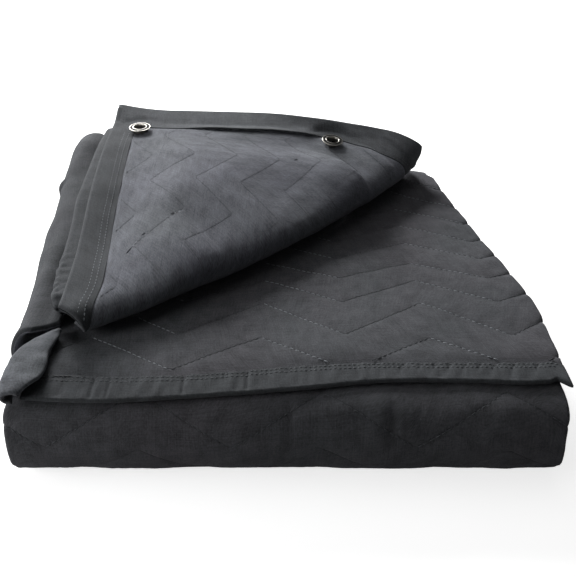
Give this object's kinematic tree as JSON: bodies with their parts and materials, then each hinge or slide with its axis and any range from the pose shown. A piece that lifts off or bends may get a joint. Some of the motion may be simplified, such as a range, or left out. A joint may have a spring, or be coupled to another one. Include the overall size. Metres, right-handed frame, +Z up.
{
  "type": "sound dampening blanket",
  "caption": "Thick quilted sound dampening blanket with bound edges and metal eyelets, folded into a flat stack, its upper corner turned back to show the lighter reverse.",
  "frame": {"origin": "on the floor, under the middle of the folded blanket", "axes": "+X to the right along the front fold, +Y towards the back edge with the eyelets, +Z up"},
  "size_m": [0.6401, 0.5859, 0.2118],
  "materials": {
    "dark_cloth": "matte woven, charcoal",
    "light_cloth": "matte woven, slate grey",
    "binding": "matte webbing, dark grey",
    "nickel": "nickel plate, slightly worn"
  },
  "bodies": {
    "root": {"quilted_stack": "dark_cloth", "draped_ply": "dark_cloth", "turned_corner": "light_cloth", "corner_tab": "light_cloth", "grommet_strip": "binding", "side_binding": "binding", "under_fold": "binding", "front_binding": "binding", "grommet_1": "nickel", "grommet_2": "nickel"}
  },
  "joints": []
}
